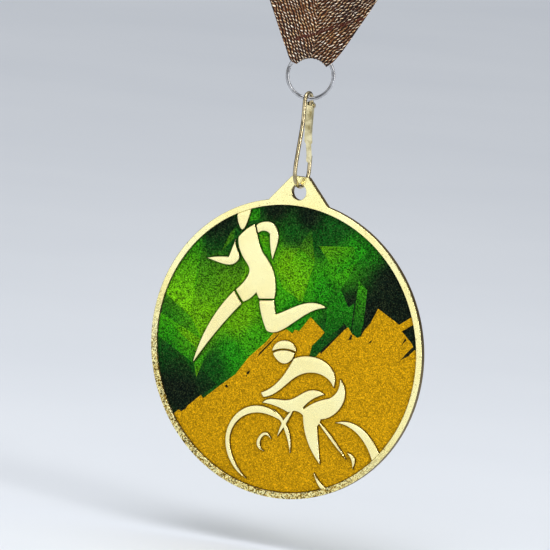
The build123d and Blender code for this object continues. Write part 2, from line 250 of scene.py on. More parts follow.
def gold_metal(name, tint, deep, roughness, speckle):
    """Plated, polished gold, with painted shade on the steps between levels.

    speckle adds the coarse glitter of the cast rim's lower edge.
    """
    t = Tree(name)
    cloud = t.noise(90, 3)
    colour = t.mix(t.ramp(cloud, 0.35, 0.7), colour4(tint), colour4(deep))
    wear = t.noise(2600, 2)
    finish = t.ramp(wear, 0.3, 0.7, roughness, roughness + 0.12)
    height = t.noise(1500, 2, 0.6)
    if speckle:
        where = t.node("SeparateXYZ", {"Vector": t.place()})
        x = t.math("DIVIDE", where.outputs["X"], MM)
        z = t.math("SUBTRACT", t.math("DIVIDE", where.outputs["Z"], MM), MEDAL_Z)
        low = t.ramp(t.math("ADD", t.math("MULTIPLY", x, 0.45), z), -2, -24)
        low = t.math("MULTIPLY", low, t.ramp(where.outputs["Y"], 0.0, -0.0004))
        grain = t.cells(4300)
        dark = t.math("MULTIPLY", t.ramp(grain, 0.52, 0.66), low)
        colour = t.mix(dark, colour, colour4((74, 58, 16)))
        amber = t.math("MULTIPLY", t.ramp(t.cells(3100), 0.5, 0.7), low)
        colour = t.mix(t.math("MULTIPLY", amber, 0.6), colour, colour4((186, 146, 36)))
        fleck = t.ramp(t.noise(1900, 1), 0.70, 0.74)
        colour = t.mix(t.math("MULTIPLY", fleck, 0.7), colour, colour4((120, 96, 40)))
        height = t.math("ADD", t.math("MULTIPLY", height, 0.3), t.math("MULTIPLY", grain, low))
    # painted shade: flagged wall faces are darkened, standing in for shadow at the foot of the relief and on
    # the rim's sides
    wall = t.node("Attribute", attribute_name="wall", attribute_type="GEOMETRY").outputs["Fac"]
    colour = t.mix(t.math("MULTIPLY", wall, 0.9), colour, colour4((84, 58, 14)))
    finish = t.math("ADD", finish, t.math("MULTIPLY", wall, 0.2))
    t.bump(height, 0.00006, 0.35 if speckle else 0.1)
    return t.set(Base_Color=colour, Metallic=0.94, Roughness=finish)


def sanded_field(name, flake, contrast):
    """Coloured lacquer over sanded metal: the paint attribute's colour with bright and dark grain."""
    t = Tree(name)
    paint = t.node("Attribute", attribute_name="paint", attribute_type="GEOMETRY").outputs["Color"]
    grain = t.cells(4700)
    fine = t.noise(6200, 2, 0.7)
    spread = t.ramp(grain, 0.2, 0.85, 1 - contrast, 1 + contrast * 1.2)
    tint = t.mix(1.0, paint, t.node("CombineColor", {0: spread, 1: spread, 2: spread}).outputs[0], "MULTIPLY")
    bright = t.ramp(t.cells(5200), 0.70, 1.0)
    tint = t.mix(t.math("MULTIPLY", bright, 0.9), tint, paint, "ADD")
    tint = t.mix(bright, tint, flake, "ADD")
    tint = t.mix(t.ramp(fine, 0.35, 0.6, 0.5 * contrast, 0.0), tint, (0.15, 0.15, 0.15, 1), "MULTIPLY")
    t.bump(t.math("ADD", grain, fine), 0.00004, 0.4)
    return t.set(Base_Color=tint, Metallic=0.0, Roughness=0.5, Specular_IOR_Level=0.03)


def bright_wire(name, tint, deep, roughness):
    """Plated wire and sheet, with a painted near-black reflection along the side that faces -X."""
    t = Tree(name)
    streak = t.noise(500, 3, 0.6)
    colour = t.mix(t.ramp(streak, 0.4, 0.75), colour4(tint), colour4(deep))
    # painted reflection: the side facing -X is coloured near-black, standing in for dark reflections
    dark_reflection_side = t.node("SeparateXYZ", {"Vector": t.node("TexCoord").outputs["Normal"]})
    colour = t.mix(t.ramp(dark_reflection_side.outputs["X"], -0.30, -0.65, 0.0, 0.94), colour, colour4((16, 13, 9)))
    t.bump(t.noise(1800, 2), 0.00002, 0.04)
    finish = t.ramp(t.noise(1500, 2), 0.3, 0.7, roughness, roughness + 0.06)
    return t.set(Base_Color=colour, Metallic=1.0, Roughness=finish)


def woven_tape(name):
    """Metallic yarns: painted shade in the gaps between them and a painted cream highlight on each turn of
    the twist.
    """
    t = Tree(name)
    weave = t.node("Attribute", attribute_name="weave", attribute_type="GEOMETRY").outputs["Vector"]
    part = t.node("SeparateXYZ", {"Vector": weave})
    across, along, seam = part.outputs
    across = t.math("ADD", across, t.ramp(t.noise(650, 2), 0.3, 0.7, -0.32, 0.32))
    number = t.math("FLOOR", across)
    inside = t.math("SUBTRACT", t.math("FRACT", across), 0.5)
    offset = t.math("FRACT", t.math("MULTIPLY", t.math("SINE", t.math("MULTIPLY", number, 91.7)), 437.5))
    wander = t.noise(420, 2)
    turn = t.math("ADD", t.math("DIVIDE", along, TWIST), offset)
    turn = t.math("ADD", turn, t.math("MULTIPLY", inside, 0.85))
    turn = t.math("ADD", turn, t.math("MULTIPLY", wander, 1.3))
    wave = t.math("SINE", t.math("MULTIPLY", turn, 2 * math.pi))
    crown = t.math("SUBTRACT", 1.0, t.math("MULTIPLY", t.math("ABSOLUTE", inside), 2.0))
    # painted highlight: a cream glint on each turn of the twist, on the yarns' crowns
    painted_highlight = t.math("MULTIPLY", t.ramp(wave, 0.2, 0.6), t.ramp(crown, 0.36, 0.62))
    painted_highlight = t.math("MULTIPLY", painted_highlight, t.ramp(t.noise(1300, 1), 0.38, 0.54, 0.1, 1.0))
    # painted shade: near-black in the gaps between the yarns
    gap = t.ramp(crown, 0.70, 0.36)
    warm = t.noise(150, 2)
    body = t.mix(t.ramp(warm, 0.35, 0.65), colour4((66, 28, 10)), colour4((112, 62, 20)))
    light = t.mix(t.ramp(t.noise(900, 1), 0.35, 0.65), colour4((232, 196, 140)), colour4((255, 244, 222)))
    colour = t.mix(painted_highlight, body, light)
    colour = t.mix(t.math("MULTIPLY", gap, 0.95), colour, colour4((16, 6, 3)))
    patchy = t.math("MULTIPLY", seam, t.ramp(t.noise(620, 2), 0.40, 0.54))
    colour = t.mix(patchy, colour, colour4((74, 22, 8)))
    t.bump(t.math("MULTIPLY", wave, crown), 0.00012, 0.5)
    return t.set(Base_Color=colour, Metallic=0.2, Roughness=0.45, Specular_IOR_Level=0.2)


def thread_stuff(name):
    t = Tree(name)
    colour = t.mix(t.ramp(t.noise(2500, 2), 0.35, 0.65), colour4((44, 14, 7)), colour4((92, 36, 15)))
    t.bump(t.noise(5200, 2), 0.00008, 0.6)
    return t.set(Base_Color=colour, Roughness=0.7)


def paper(name):
    t = Tree(name)
    colour = t.mix(t.noise(1200, 4, 0.7), colour4((222, 214, 196)), colour4((246, 241, 228)))
    colour = t.mix(t.ramp(t.noise(240, 3), 0.62, 0.75, 0, 0.25), colour, colour4((188, 172, 142)))
    t.bump(t.noise(1600, 5, 0.7), 0.00006, 0.5)
    return t.set(Base_Color=colour, Roughness=0.82)


def floor_stuff(name):
    t = Tree(name)
    colour = t.mix(t.noise(6, 3), colour4((214, 218, 224)), colour4((226, 229, 233)))
    t.bump(t.noise(300, 3), 0.0002, 0.15)
    return t.set(Base_Color=colour, Roughness=0.65)


RIM = gold_metal("rim_gold", (255, 248, 186), (252, 238, 160), 0.20, True)
RELIEF = gold_metal("relief_gold", (255, 246, 184), (250, 236, 166), 0.17, False)
GREEN = sanded_field("green_print", (0.028, 0.036, 0.012, 1), 0.72)
GOLD = sanded_field("gold_print", (0.04, 0.02, 0.0, 1), 0.34)
NICKEL = bright_wire("ring_nickel", (196, 196, 198), (118, 116, 114), 0.15)
PALE_GOLD = bright_wire("hook_plate", (206, 190, 150), (112, 98, 66), 0.17)
GATE_PLATE = bright_wire("gate_plate", (236, 224, 178), (150, 134, 84), 0.18)
STEEL = bright_wire("spring_steel", (176, 178, 182), (120, 120, 124), 0.3)
TAPE = woven_tape("woven_tape")
THREAD = thread_stuff("seam_thread")
PAPER = paper("paper_band")
FLOOR = floor_stuff("floor")


# ---- mesh helpers -----------------------------------------------------------------------
def make_object(name, vertices, faces, material, smooth=True):
    """A piece from millimetre points."""
    mesh = bpy.data.meshes.new(name)
    mesh.from_pydata((np.asarray(vertices, float) * MM).tolist(), [], faces)
    mesh.update()
    mesh.shade_smooth() if smooth else mesh.shade_flat()
    mesh.materials.append(material)
    made = bpy.data.objects.new(name, mesh)
    scene.collection.objects.link(made)
    return made


def sharpen(obj, angle=32):
    obj.data.set_sharp_from_angle(angle=math.radians(angle))


def outward(obj):
    """Turns every face of a closed piece outwards."""
    bm = bmesh.new()
    bm.from_mesh(obj.data)
    bmesh.ops.recalc_face_normals(bm, faces=bm.faces)
    bm.to_mesh(obj.data)
    bm.free()


def mark_painted_shade_walls(obj, walls):
    """Flags whole faces, so the material can paint shade onto the steps between levels."""
    mesh = obj.data
    totals = [p.loop_total for p in mesh.polygons]
    values = np.repeat(np.asarray(walls, float), totals)
    mesh.attributes.new("wall", "FLOAT", "CORNER").data.foreach_set("value", values)


def finish_piece(obj, body, nodes=()):
    if nodes:
        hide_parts(*nodes)
    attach(obj, body)
    return obj


def cap_loops(node, y, tolerance=0.02):
    """The closed outlines, in the medal's X and Z, of a CAD node's flat face at depth y."""
    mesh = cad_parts[node].data
    points = np.array([v.co for v in mesh.vertices]) / MM
    flat = np.abs(points[:, 1] - y) < tolerance
    key = {}
    ids = np.zeros(len(points), int)
    for i, p in enumerate(points):
        ids[i] = key.setdefault((round(p[0], 3), round(p[2], 3)), len(key))
    places = np.array(list(key)) - (0, MEDAL_Z)
    count = {}
    for polygon in mesh.polygons:
        corners = list(polygon.vertices)
        if all(flat[c] for c in corners):
            for a, b in zip(corners, corners[1:] + corners[:1]):
                edge = (ids[a], ids[b])
                if edge[::-1] in count:
                    del count[edge[::-1]]
                else:
                    count[edge] = 1
    following = {}
    for a, b in count:
        following.setdefault(a, []).append(b)
    loops = []
    while following:
        start = next(iter(following))
        loop = [start]
        while True:
            options = following[loop[-1]]
            step = options.pop()
            if not options:
                del following[loop[-1]]
            if step == start:
                break
            loop.append(step)
        loops.append(places[loop])
    return loops


def segments_of(loops):
    a = np.concatenate(loops)
    b = np.concatenate([np.roll(loop, -1, axis=0) for loop in loops])
    return a, b


def distance_to(points, loops):
    a, b = segments_of(loops)
    d = b - a
    length = np.maximum((d ** 2).sum(1), 1e-12)
    out = np.empty(len(points))
    for i in range(0, len(points), 4000):
        p = points[i:i + 4000, None, :]
        t = np.clip(((p - a) * d).sum(2) / length, 0, 1)
        out[i:i + 4000] = np.sqrt((((a + t[..., None] * d) - p) ** 2).sum(2).min(1))
    return out


def inside(points, loops):
    a, b = segments_of(loops)
    out = np.empty(len(points), bool)
    for i in range(0, len(points), 4000):
        x, z = points[i:i + 4000, 0, None], points[i:i + 4000, 1, None]
        spans = (a[:, 1] > z) != (b[:, 1] > z)
        rise = np.where(b[:, 1] == a[:, 1], 1e-12, b[:, 1] - a[:, 1])
        cross = a[:, 0] + (z - a[:, 1]) * (b[:, 0] - a[:, 0]) / rise
        out[i:i + 4000] = (spans & (x < cross)).sum(1) % 2 == 1
    return out


def refine(loops, step):
    """Splits long sides so no side is longer than step."""
    fine = []
    for loop in loops:
        points = []
        for a, b in zip(loop, np.roll(loop, -1, axis=0)):
            n = max(1, int(math.ceil(np.linalg.norm(b - a) / step)))
            points += [a + (b - a) * k / n for k in range(n)]
        fine.append(np.array(points))
    return fine


def triangulate(loops, loose, lines=()):
    """Points and triangles that fill the loops, passing through loose points and lines."""
    points = [Vector(p) for loop in loops for p in loop]
    edges = []
    start = 0
    for loop in loops:
        n = len(loop)
        edges += [(start + i, start + (i + 1) % n) for i in range(n)]
        start += n
    for line in lines:
        first = len(points)
        points += [Vector(p) for p in line]
        edges += [(first + i, first + i + 1) for i in range(len(line) - 1)]
    points += [Vector(p) for p in loose]
    made, _, triangles, _, _, _ = delaunay_2d_cdt(points, edges, [], 0, 1e-5)
    made = np.array([tuple(p) for p in made])
    triangles = np.array(triangles)
    keep = inside(made[triangles].mean(1), loops)
    return made, triangles[keep]


def block(name, loops, loose, height, floor_y, material, lines=()):
    """A closed solid on the medal's face: a shaped top, straight sides and a flat underside."""
    top, triangles = triangulate(loops, loose, lines)
    y = height(top)
    vertices = np.column_stack([top[:, 0], y, top[:, 1] + MEDAL_Z])
    order = triangles[:, ::-1] if signed(top, triangles) < 0 else triangles
    faces = order.tolist()
    edges = {}
    for a, b, c in faces:
        for edge in ((a, b), (b, c), (c, a)):
            if edge[::-1] in edges:
                del edges[edge[::-1]]
            else:
                edges[edge] = 1
    rim = sorted({a for a, _ in edges} | {b for _, b in edges})
    low = {v: len(vertices) + i for i, v in enumerate(rim)}
    under = np.column_stack([top[rim, 0], np.full(len(rim), floor_y), top[rim, 1] + MEDAL_Z])
    sides = [(a, low[a], low[b], b) for a, b in edges]
    foot = [Vector(top[v]) for v in rim]
    index = {v: i for i, v in enumerate(rim)}
    foot_edges = [(index[a], index[b]) for a, b in edges]
    made, _, foot_faces, _, _, _ = delaunay_2d_cdt(foot, foot_edges, [], 0, 1e-6)
    if len(made) == len(foot):
        foot_faces = np.array(foot_faces)
        places = np.array([tuple(p) for p in made])
        foot_faces = foot_faces[inside(places[foot_faces].mean(1), loops)]
        base = len(vertices)
        flip = signed(places, foot_faces) > 0
        closed = (foot_faces[:, ::-1] if flip else foot_faces) + base
        sides += closed.tolist()
    return make_object(name, np.vstack([vertices, under]), faces + sides, material), len(faces)


def signed(points, triangles):
    a, b, c = (points[triangles[:, k]] for k in range(3))
    return float(((b - a)[:, 0] * (c - a)[:, 1] - (b - a)[:, 1] * (c - a)[:, 0]).sum())


# ---- raised figures ---------------------------------------------------------------------
EDGE_R = 0.17
METAL_EDGES = []         # every raised figure's outline


def inset_points(loops, distance):
    """Points set in from the outline by distance, left out where the shape is too narrow."""
    found = []
    for loop in loops:
        before, after = np.roll(loop, 1, axis=0), np.roll(loop, -1, axis=0)
        run = after - before
        run /= np.maximum(np.linalg.norm(run, axis=1)[:, None], 1e-9)
        side = np.column_stack([-run[:, 1], run[:, 0]])
        for sign in (1, -1):
            found.append(loop + side * sign * distance)
    points = np.concatenate(found)
    good = inside(points, loops) & (distance_to(points, loops) > distance * 0.93)
    return points[good]


def pillow(node):
    """A polished island: flat face, edges rounded over."""
    loops = refine(cap_loops(node, FRONT), 0.35)
    METAL_EDGES.extend(loops)
    loose = [inset_points(loops, d) for d in (0.05, 0.11, EDGE_R)]
    low = np.min([l.min(0) for l in loops], axis=0)
    high = np.max([l.max(0) for l in loops], axis=0)
    grid = np.stack(np.meshgrid(np.arange(low[0], high[0], 0.9), np.arange(low[1], high[1], 0.9)), -1)
    grid = grid.reshape(-1, 2) + rng.uniform(-0.2, 0.2, (grid.size // 2, 2))
    grid = grid[inside(grid, loops)]
    if len(grid):
        grid = grid[distance_to(grid, loops) > EDGE_R * 1.6]
    loose = np.concatenate(loose + [grid])

    def height(points):
        d = np.clip(distance_to(points, loops) / EDGE_R, 0, 1)
        return FRONT + EDGE_R * (1 - np.sqrt(np.clip(1 - (1 - d) ** 2, 0, 1)))

    made, tops = block(node + "_polished", loops, loose, height, GROUND, RELIEF)
    # the figure's side walls get painted shade
    mark_painted_shade_walls(made, np.arange(len(made.data.polygons)) >= tops)
    sharpen(made, 50)
    return finish_piece(made, "medal", [node])


ISLANDS = [
    "runner_head", "runner_torso", "runner_front_arm", "runner_rear_arm", "runner_front_leg",
    "runner_rear_leg", "cyclist_helmet", "cyclist_face", "cyclist_back_and_arm",
    "cyclist_legs_and_frame", "front_hub_arc", "rear_hub_arc", "rear_wheel_arc",
    "rear_wheel_lower_arc",
]
for island in ISLANDS:
    pillow(island)

# ---- colour fields ----------------------------------------------------------------------
BLACK = np.array(linear((7, 18, 12)))
DARK = np.array(linear((10, 68, 14)))
MID = np.array(linear((26, 118, 10)))
LEAF = np.array(linear((48, 132, 8)))
LIME = np.array(linear((88, 148, 6)))
OCHRE = np.array(linear((180, 135, 9)))
TONES = [
    ((-31, 14), LEAF), ((-28, 21), LEAF), ((-23, 25.5), DARK), ((-20, 27.5), BLACK), ((-16, 24), DARK),
    ((-12, 31), DARK), ((-6, 32), BLACK), ((3, 31), BLACK), ((10, 30), DARK), ((18, 26), MID),
    ((25, 19), BLACK), ((30, 12), BLACK), ((22, 12), BLACK), ((14, 12), BLACK), ((8, 15), MID),
    ((12, 20), LEAF), ((3, 16), LEAF), ((-1, 20), LIME), ((-1, 27), DARK), ((6, 26), DARK),
    ((-7.5, 23), LEAF), ((-16, 14), LIME), ((-22, 12), LEAF), ((-28, 10), LIME), ((-22, 5), LIME),
    ((-25, -1), LIME), ((-31, 1), LEAF), ((-31, -5), DARK), ((-25, -12), BLACK), ((-20, -9), DARK),
    ((-18, -6), DARK), ((-14, -3), MID), ((-9, 2), LEAF), ((-12, 5), LIME), ((-2, 13), LEAF),
    ((-28, -9), BLACK), ((-30, -13), BLACK), ((1, 9.5), MID), ((11, 4), DARK), ((15, 6), BLACK),
]
# each shard: its corners, the colour at its first corner and at its last, and how strongly it covers
SHARDS = [
    ([(-24.2, 22.1), (-29.3, 16.5), (-33.5, 9.8), (-25.5, 4.7)], MID * 0.8, LIME * 1.5, 0.9),
    ([(-33.5, 4.3), (-33.5, 9.5), (-25.4, 4.3), (-21.6, -0.9)], DARK, LEAF, 0.7),
    (
        [(-23.9, 22.1), (-18.9, 26.0), (-15.2, 23.3), (-12.1, 16.7), (-14.2, 11.3), (-24.9, 4.6)],
        DARK, LIME * 1.1, 0.75,
    ),
    ([(-23.2, 23.9), (-19.0, 29.5), (-14.5, 28.5), (-18.4, 21.0), (-22.4, 18.6)], BLACK, DARK, 0.75),
    ([(-15.7, 26.6), (-15.9, 23.8), (-18.8, 20.4), (-17.2, 24.6)], LEAF, LIME, 0.3),
    ([(-33.5, 3.7), (-23.4, -2.7), (-22.9, -9.6), (-27.0, -4.8), (-33.4, -1.2)], LEAF * 1.2, MID, 0.7),
    ([(-33.4, -1.4), (-25.6, -5.4), (-17.0, -10.6), (-26.0, -18.6), (-33.0, -12.0)], DARK, BLACK, 0.75),
    ([(-23.4, -6.4), (-19.9, -2.6), (-21.3, -6.3), (-22.5, -9.7)], LEAF, LIME * 1.1, 0.75),
    ([(-12.2, 31.3), (-9.7, 31.9), (-9.6, 29.2), (-12.3, 28.4)], MID, LEAF, 0.8),
    ([(3.9, 28.8), (1.4, 24.6), (-4.3, 18.0), (-2.1, 13.9), (3.2, 11.5), (5.4, 21.2)], DARK, LIME, 0.55),
    ([(-3.1, 25.7), (1.6, 26.3), (2.1, 23.9), (-2.9, 23.4)], BLACK, DARK, 0.3),
    ([(1.2, 23.8), (5.3, 21.3), (2.3, 11.2), (-2.3, 17.6)], LEAF, LIME * 1.25, 0.6),
    ([(6.2, 24.9), (15.2, 25.9), (15.9, 22.4), (11.3, 19.0)], LIME, MID, 0.75),
    (
        [
            (6.0, 33.9), (10.1, 31.0), (18.7, 25.1), (15.7, 22.0), (14.2, 18.1), (12.5, 15.7),
            (12.9, 13.1), (15.1, 11.7), (17.0, 14.1), (17.1, 18.2), (19.4, 16.3), (19.5, 6.9),
            (22.7, 12.7), (28.6, 9.9), (34.0, 12.8), (30.0, 19.0), (22.0, 28.0),
        ],
        DARK, BLACK, 0.4,
    ),
    ([(17.1, 18.2), (19.4, 16.3), (19.2, 8.6), (18.4, 4.6), (16.4, 5.6)], LEAF, DARK, 0.85),
    (
        [(9.7, 11.1), (12.6, 15.7), (15.1, 11.7), (16.4, 13.0), (16.2, 5.7), (14.5, 7.9), (9.5, 3.0)],
        MID, DARK, 0.7,
    ),
    ([(-9.4, 25.6), (-6.3, 25.2), (-6.3, 21.5), (-7.7, 21.9)], LIME, LEAF, 0.7),
]
# bare or painted-over flecks along the brush edge, dark ones lying on the gold
FLECKS = [
    [(-8.0, -3.4), (-8.9, -4.5), (-4.6, 1.1), (-3.8, 2.4)],
    [(-6.7, -1.8), (-7.2, -3.0), (-2.4, 2.7), (-2.0, 3.5)],
    [(-6.0, -2.4), (-6.5, -3.1), (-4.7, -1.0)],
    [(14.8, 7.7), (8.6, 0.4), (9.2, 0.2), (14.9, 6.9)],
    [(-14.9, -10.8), (-14.5, -10.3), (-14.0, -10.7), (-14.3, -11.2)],
    [(-9.5, -6.6), (-8.7, -6.2), (-8.9, -7.0), (-9.5, -7.4)],
    [(-9.9, -7.7), (-9.4, -7.3), (-9.4, -7.9)],
    [(20.7, 4.0), (21.6, 5.1), (21.7, 4.5)],
    [(29.3, 1.3), (31.0, 3.5), (33.2, 5.9), (33.3, 4.9), (31.3, 2.6)],
    [(29.1, 4.5), (30.1, 6.6), (30.5, 6.2)],
    [(-26.5, -18.7), (-24.1, -16.5), (-24.5, -17.5)],
    [(15.6, 4.2), (16.7, 6.0), (16.5, 4.4)],
]


TONE_SPREAD, TONE_FALLOFF = 7.0, 2.4     # how far and how sharply the named tones blend


def tone_at(points):
    """The lacquer's slow change of colour, blended between the named tones."""
    places = np.array([p for p, _ in TONES])
    tones = np.array([c for _, c in TONES])
    d2 = ((points[:, None, :] - places) ** 2).sum(2)
    weight = 1 / (d2 + TONE_SPREAD) ** TONE_FALLOFF
    return (weight @ tones) / weight.sum(1)[:, None]


GRIT = 0.007             # height of the sanded ground's grit
SHADE_OUTLINE_W = 0.2          # painted shade: the lacquer is darkened this close to bare metal, standing in for shadow at the foot of the relief


def sanded(node, name, material, shards, flecks, base):
    """A coloured field whose surface is a fine random grit, painted corner by corner."""
    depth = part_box(node)[0].y / MM
    loops = refine(cap_loops(node, depth), 0.4)
    step = 0.36
    span = np.arange(-FIELD_R, FIELD_R, step)
    grid = np.stack(np.meshgrid(span, span), -1).reshape(-1, 2)
    grid += rng.uniform(-0.15, 0.15, grid.shape)
    grid = grid[inside(grid, loops)]
    grid = grid[distance_to(grid, loops) > 0.27]
    grid = np.concatenate([grid, inset_points(loops, 0.10), inset_points(loops, 0.20)])
    lines = []
    for corners in [s[0] for s in shards] + flecks:
        closed = np.array(list(corners) + [corners[0]], float)
        for a, b in zip(closed, closed[1:]):
            n = max(1, int(np.linalg.norm(b - a) / 0.8))
            run = a + (b - a) * np.linspace(0, 1, n + 1)[:, None]
            keep = inside(run, loops) & (distance_to(run, loops) > 0.05)
            for i in range(n):
                if keep[i] and keep[i + 1]:
                    lines.append(run[i:i + 2])

    def height(points):
        edge = distance_to(points, loops) < 1e-4
        grit = rng.uniform(-GRIT, GRIT, len(points))
        grit[edge] = 0
        return depth + grit

    made, _ = block(name, loops, grid, height, GROUND, material, lines)
    mesh = made.data
    mesh.shade_flat()
    corner = np.empty(len(mesh.loops), int)
    mesh.loops.foreach_get("vertex_index", corner)
    xyz = np.empty(len(mesh.vertices) * 3)
    mesh.vertices.foreach_get("co", xyz)
    xz = xyz.reshape(-1, 3)[:, [0, 2]] / MM - (0, MEDAL_Z)
    colours = base(xz)[corner]
    starts = np.array([p.loop_start for p in mesh.polygons])
    totals = np.array([p.loop_total for p in mesh.polygons])
    middles = np.add.reduceat(xz[corner], starts) / totals[:, None]
    owner = np.repeat(np.arange(len(totals)), totals)
    for corners, first, last, cover in shards:
        shape = np.array(corners, float)
        hit = inside(middles, [shape])[owner]
        axis = shape[-1] - shape[0]
        t = np.clip(((xz[corner] - shape[0]) @ axis) / (axis @ axis), 0, 1)[:, None]
        shade = first * (1 - t) + last * t
        colours[hit] = (colours * (1 - cover) + shade * cover)[hit]
    for corners in flecks:
        hit = inside(middles, [np.array(corners, float)])[owner]
        colours[hit] = BLACK * 1.2
    # painted shade: a dark line in the lacquer beside the raised figures and the rim
    to_metal = np.minimum(distance_to(xz, METAL_EDGES), FIELD_R - np.linalg.norm(xz, axis=1))
    colours *= (1 - 0.94 * np.clip(1.3 - to_metal / SHADE_OUTLINE_W, 0, 1))[corner, None]
    paint = mesh.color_attributes.new("paint", "FLOAT_COLOR", "CORNER")
    paint.data.foreach_set("color", np.column_stack([colours, np.ones(len(colours))]).ravel())
    return finish_piece(made, "medal", [node])


sanded("green_field", "green_grit", GREEN, SHARDS, [], tone_at)
sanded("gold_field", "gold_grit", GOLD, [], FLECKS, lambda p: np.tile(OCHRE, (len(p), 1)))


# ---- metal pieces rounded from their CAD shapes -------------------------------------------
def rounded(node, body, material, width, name, segments=3):
    """A copy of a CAD node with its sharp edges rolled over."""
    bm = bmesh.new()
    bm.from_mesh(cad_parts[node].data)
    bmesh.ops.remove_doubles(bm, verts=bm.verts, dist=1e-6)
    bmesh.ops.dissolve_limit(
        bm, angle_limit=math.radians(0.4), verts=bm.verts, edges=bm.edges, delimit=set(),
    )
    hard = [e for e in bm.edges if len(e.link_faces) == 2 and e.calc_face_angle(0) > math.radians(35)]
    bmesh.ops.bevel(
        bm, geom=hard, offset=width * MM, segments=segments, profile=0.6, affect="EDGES",
        clamp_overlap=False, loop_slide=True,
    )
    mesh = bpy.data.meshes.new(name)
    bm.to_mesh(mesh)
    bm.free()
    mesh.shade_smooth()
    mesh.materials.append(material)
    made = bpy.data.objects.new(name, mesh)
    scene.collection.objects.link(made)
    sharpen(made, 50)
    # the side walls of the rim and the disc get painted shade
    if material is RIM:
        mark_painted_shade_walls(made, [abs(p.normal.y) < 0.3 for p in mesh.polygons])
    made.modifiers.new("normals", "WEIGHTED_NORMAL").keep_sharp = True
    return finish_piece(made, body, [node])


rounded("medal_body", "medal", RIM, 0.16, "medal_disc_and_rim")
rounded("gate", "gate", GATE_PLATE, 0.07, "gate_channel", 2)
rounded("gate_pin", "hook", PALE_GOLD, 0.09, "gate_rivet")
rounded("gate_spring", "gate", STEEL, 0.03, "gate_return_spring", 2)


# ---- split ring and hook wire ---------------------------------------------------------------
def swept(path, sides, ups, section):
    """Tube of a given section along a path, with closed ends."""
    n, m = len(path), len(section)
    vertices = (
        path[:, None, :] + sides[:, None, :] * section[None, :, 0, None]
        + ups[:, None, :] * section[None, :, 1, None]
    ).reshape(-1, 3)
    faces = [
        (i * m + j, i * m + (j + 1) % m, (i + 1) * m + (j + 1) % m, (i + 1) * m + j)
        for i in range(n - 1) for j in range(m)
    ]
    faces += [tuple(range(m))[::-1], tuple((n - 1) * m + j for j in range(m))]
    return vertices, faces


def rounded_section(width, height, radius, per_corner=5):
    points = []
    for k, (sx, sy) in enumerate(((1, 1), (-1, 1), (-1, -1), (1, -1))):
        cx, cy = sx * (width / 2 - radius), sy * (height / 2 - radius)
        for i in range(per_corner):
            a = math.pi / 2 * (k + i / (per_corner - 1))
            points.append((cx + radius * math.cos(a), cy + radius * math.sin(a)))
    return np.array(points)


def split_ring():
    """Two turns of flattened wire; the wire steps from the front turn to the back one."""
    turns = 2 * 2 * math.pi - math.radians(7)
    start = math.radians(163)
    angle = start + np.linspace(0, turns, 420)
    progress = np.linspace(0, turns, 420)
    mid, half = turns / 2, math.radians(24)
    t = np.clip((progress - (mid - half)) / (2 * half), 0, 1)
    gap = (WIRE_T + 0.03) / 2
    depth = -gap + 2 * gap * t * t * (3 - 2 * t)
    ease = 0.04 * np.sin(np.clip(progress / math.radians(20), 0, 1) * math.pi / 2)
    radius = RING_R - 0.04 + ease
    radial = np.column_stack([np.cos(angle), np.zeros(420), np.sin(angle)])
    path = radial * radius[:, None]
    path[:, 1] = depth
    axis = np.tile([0.0, 1.0, 0.0], (420, 1))
    vertices, faces = swept(path, radial, axis, rounded_section(WIRE_W, WIRE_T, 0.2))
    spin = np.array(Matrix.Rotation(YAW, 3, "Z"))
    made = make_object("ring_two_turns", vertices @ spin.T + np.array(RING), faces, NICKEL)
    outward(made)
    sharpen(made, 60)
    return finish_piece(made, "ring", ["split_ring"])


split_ring()


HOOK_WIRE_R = 0.48
EYE_R, BEND_R = 1.75, 3.7                # centre line radii of the top eye and the bottom bend
STUB_END, NECK_END = 8.3, 6.8            # below the top of the eye
SHOULDER, NOSE = 5.2, 6.8                # above the bottom of the bend
CORNER = 0.7                             # the long side's two bends start this far from their corners


def hook_wire():
    """The bent wire in its own plane: closed stub, eye, long side, bottom bend and nose."""
    low_box, high_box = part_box("hook_body")
    top, low = high_box.z / MM - HOOK_WIRE_R, low_box.z / MM + HOOK_WIRE_R
    half = np.linspace(0, math.pi, 33)
    line = [(EYE_R, top - STUB_END), (EYE_R, top - 5.0)]
    line += [(EYE_R * math.cos(a), top - EYE_R + EYE_R * math.sin(a)) for a in half]
    corner = np.array([
        (-EYE_R, top - 4), (-EYE_R, top - NECK_END), (-BEND_R, low + SHOULDER), (-BEND_R, low + BEND_R),
    ])
    for before, at, after in zip(corner, corner[1:], corner[2:]):
        a = at + (before - at) / np.linalg.norm(before - at) * CORNER
        b = at + (after - at) / np.linalg.norm(after - at) * CORNER
        t = np.linspace(0, 1, 9)[:, None]
        line += ((1 - t) ** 2 * a + 2 * t * (1 - t) * at + t ** 2 * b).tolist()
    line += [(-BEND_R * math.cos(a), low + BEND_R - BEND_R * math.sin(a)) for a in half]
    line += [(BEND_R, low + SHOULDER), (BEND_R, low + NOSE)]
    path = np.array([(0.0, y, z) for y, z in line])
    cap = np.linspace(0, math.pi / 2, 7)[1:]
    tip = [(0.0, BEND_R, low + NOSE + HOOK_WIRE_R * math.sin(a)) for a in cap]
    path = np.vstack([path, tip])
    size = np.ones(len(path))
    size[-len(cap):] = np.maximum(np.cos(cap), 0.05)
    tangent = np.gradient(path, axis=0)
    tangent /= np.linalg.norm(tangent, axis=1)[:, None]
    sides = np.tile([1.0, 0.0, 0.0], (len(path), 1))
    ups = np.cross(tangent, sides)
    turn = np.linspace(0, 2 * math.pi, 21)[:-1]
    circle = np.column_stack([np.cos(turn), np.sin(turn)]) * HOOK_WIRE_R
    vertices, faces = swept(path, sides * size[:, None], ups * size[:, None], circle)
    made = make_object("hook_wire", vertices, faces, PALE_GOLD)
    outward(made)
    sharpen(made, 60)
    return finish_piece(made, "hook", ["hook_body"])


hook_wire()

